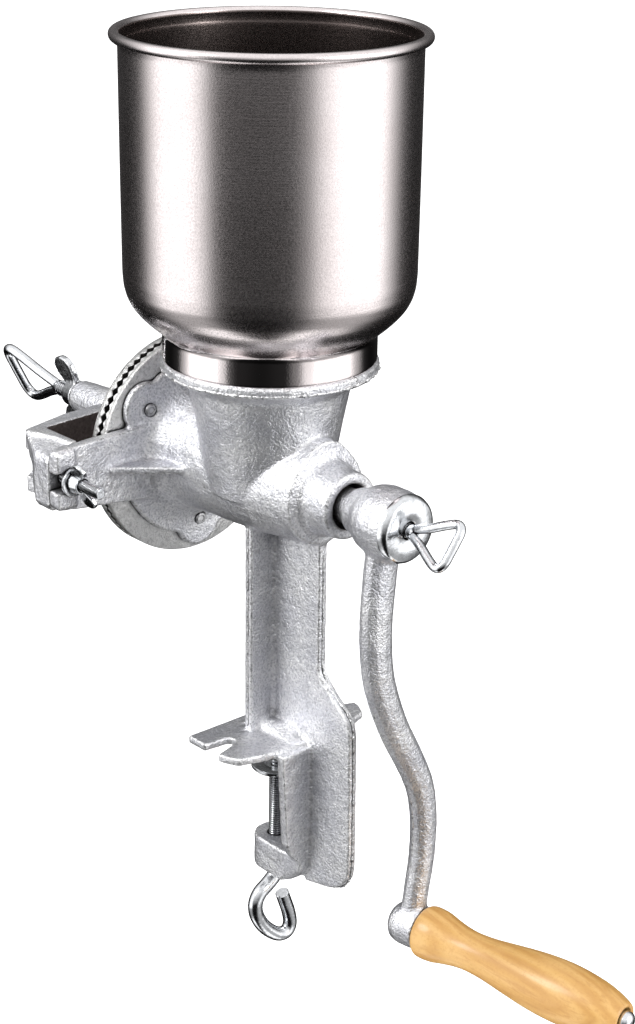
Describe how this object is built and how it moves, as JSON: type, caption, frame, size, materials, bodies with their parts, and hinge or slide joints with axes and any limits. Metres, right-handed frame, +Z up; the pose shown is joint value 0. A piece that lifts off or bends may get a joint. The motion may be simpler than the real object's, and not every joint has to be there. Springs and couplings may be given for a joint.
{
  "type": "hand crank coffee grinder",
  "caption": "Table-clamped hand crank burr mill: round steel hopper on a cast body, burr discs, bridge with adjusting screw, S-shaped crank with wooden handle.",
  "frame": {"origin": "centre of the table seat: underside of the clamp plate, on the clamp screw's axis", "axes": "+Z up, along the hopper and clamp screw; +X along the auger towards the crank; +Y completes a right-handed frame"},
  "size_m": [0.4264, 0.176, 0.4697],
  "materials": {
    "casting": "tinned, bright, fine sand-cast grain",
    "hopper_sheet": "satin stainless sheet, slightly warm, polished neck",
    "plain_steel": "plain turned steel",
    "zinc_hardware": "bright zinc plating",
    "grip_wood": "light turned hardwood, clear varnish"
  },
  "bodies": {
    "frame": {"mill_body": "casting", "stationary_burr": "casting", "burr_rivet_1": "plain_steel", "burr_rivet_2": "plain_steel", "burr_rivet_3": "plain_steel", "bridge": "casting", "bridge_bolt_near": "zinc_hardware", "bridge_bolt_far": "zinc_hardware"},
    "hopper_body": {"hopper": "hopper_sheet"},
    "rotor": {"auger": "casting", "rotating_burr": "casting", "burr_carrier": "casting", "drive_pin": "plain_steel", "carrier_screw_1": "zinc_hardware", "carrier_screw_2": "zinc_hardware", "crank": "casting", "handle_bolt": "zinc_hardware"},
    "thumbscrew": {"crank_thumbscrew": "zinc_hardware"},
    "grip": {"handle_grip": "grip_wood"},
    "clamp_pad": {"clamp_cup": "zinc_hardware"},
    "clamp_spindle": {"clamp_screw": "zinc_hardware"},
    "thrust": {"thrust_ball": "plain_steel"},
    "adjuster": {"adjusting_screw": "zinc_hardware"},
    "lock_nut": {"lock_wingnut": "zinc_hardware"},
    "washer_near": {"bridge_washer_near": "zinc_hardware"},
    "nut_near": {"bridge_wingnut_near": "zinc_hardware"},
    "washer_far": {"bridge_washer_far": "zinc_hardware"},
    "nut_far": {"bridge_wingnut_far": "zinc_hardware"}
  },
  "joints": [
    {"name": "crank_turn", "type": "hinge", "parent": "frame", "child": "rotor", "pos_m": [-0.0071, 0, 0.1342], "axis": [1, 0, 0], "continuous": true},
    {"name": "handle_turn", "type": "hinge", "parent": "rotor", "child": "grip", "pos_m": [0.08262, 0.02614, -0.0878], "axis": [0.9893, 0.1461, 0], "continuous": true},
    {"name": "thumbscrew_turn", "type": "hinge", "parent": "rotor", "child": "thumbscrew", "pos_m": [0.0904, 0, 0.1342], "axis": [1, 0, 0], "range_deg": [0, 360]},
    {"name": "hopper_lift", "type": "slide", "parent": "frame", "child": "hopper_body", "axis": [0, 0, 1], "range_m": [0, 0.06]},
    {"name": "clamp_slide", "type": "slide", "parent": "frame", "child": "clamp_pad", "axis": [0, 0, 1], "range_m": [-0.034, 0.004]},
    {"name": "clamp_screw_turn", "type": "hinge", "parent": "clamp_pad", "child": "clamp_spindle", "pos_m": [0, 0, -0.02], "axis": [0, 0, 1], "range_deg": [-9800, 1500]},
    {"name": "thrust_slide", "type": "slide", "parent": "frame", "child": "thrust", "axis": [1, 0, 0], "range_m": [-0.008, 0]},
    {"name": "adjusting_turn", "type": "hinge", "parent": "thrust", "child": "adjuster", "pos_m": [-0.0965, 0, 0.1342], "axis": [1, 0, 0], "range_deg": [-1930, 10]},
    {"name": "lock_nut_turn", "type": "hinge", "parent": "frame", "child": "lock_nut", "pos_m": [-0.1614, 0, 0.1342], "axis": [1, 0, 0], "range_deg": [-360, 0]},
    {"name": "washer_near_slide", "type": "slide", "parent": "frame", "child": "washer_near", "axis": [1, 0, 0], "range_m": [0, 0.008]},
    {"name": "nut_near_turn", "type": "hinge", "parent": "washer_near", "child": "nut_near", "pos_m": [-0.0553, -0.079, 0.1342], "axis": [1, 0, 0], "range_deg": [-10, 2900]},
    {"name": "washer_far_slide", "type": "slide", "parent": "frame", "child": "washer_far", "axis": [1, 0, 0], "range_m": [0, 0.008]},
    {"name": "nut_far_turn", "type": "hinge", "parent": "washer_far", "child": "nut_far", "pos_m": [-0.0553, 0.079, 0.1342], "axis": [1, 0, 0], "range_deg": [-10, 2900]}
  ],
  "couplings": [
    {"joint": "clamp_screw_turn", "follows": "clamp_slide", "rad_per_m": 5026.5},
    {"joint": "adjusting_turn", "follows": "thrust_slide", "rad_per_m": 4188.8},
    {"joint": "nut_near_turn", "follows": "washer_near_slide", "rad_per_m": 6283.2},
    {"joint": "nut_far_turn", "follows": "washer_far_slide", "rad_per_m": 6283.2}
  ]
}
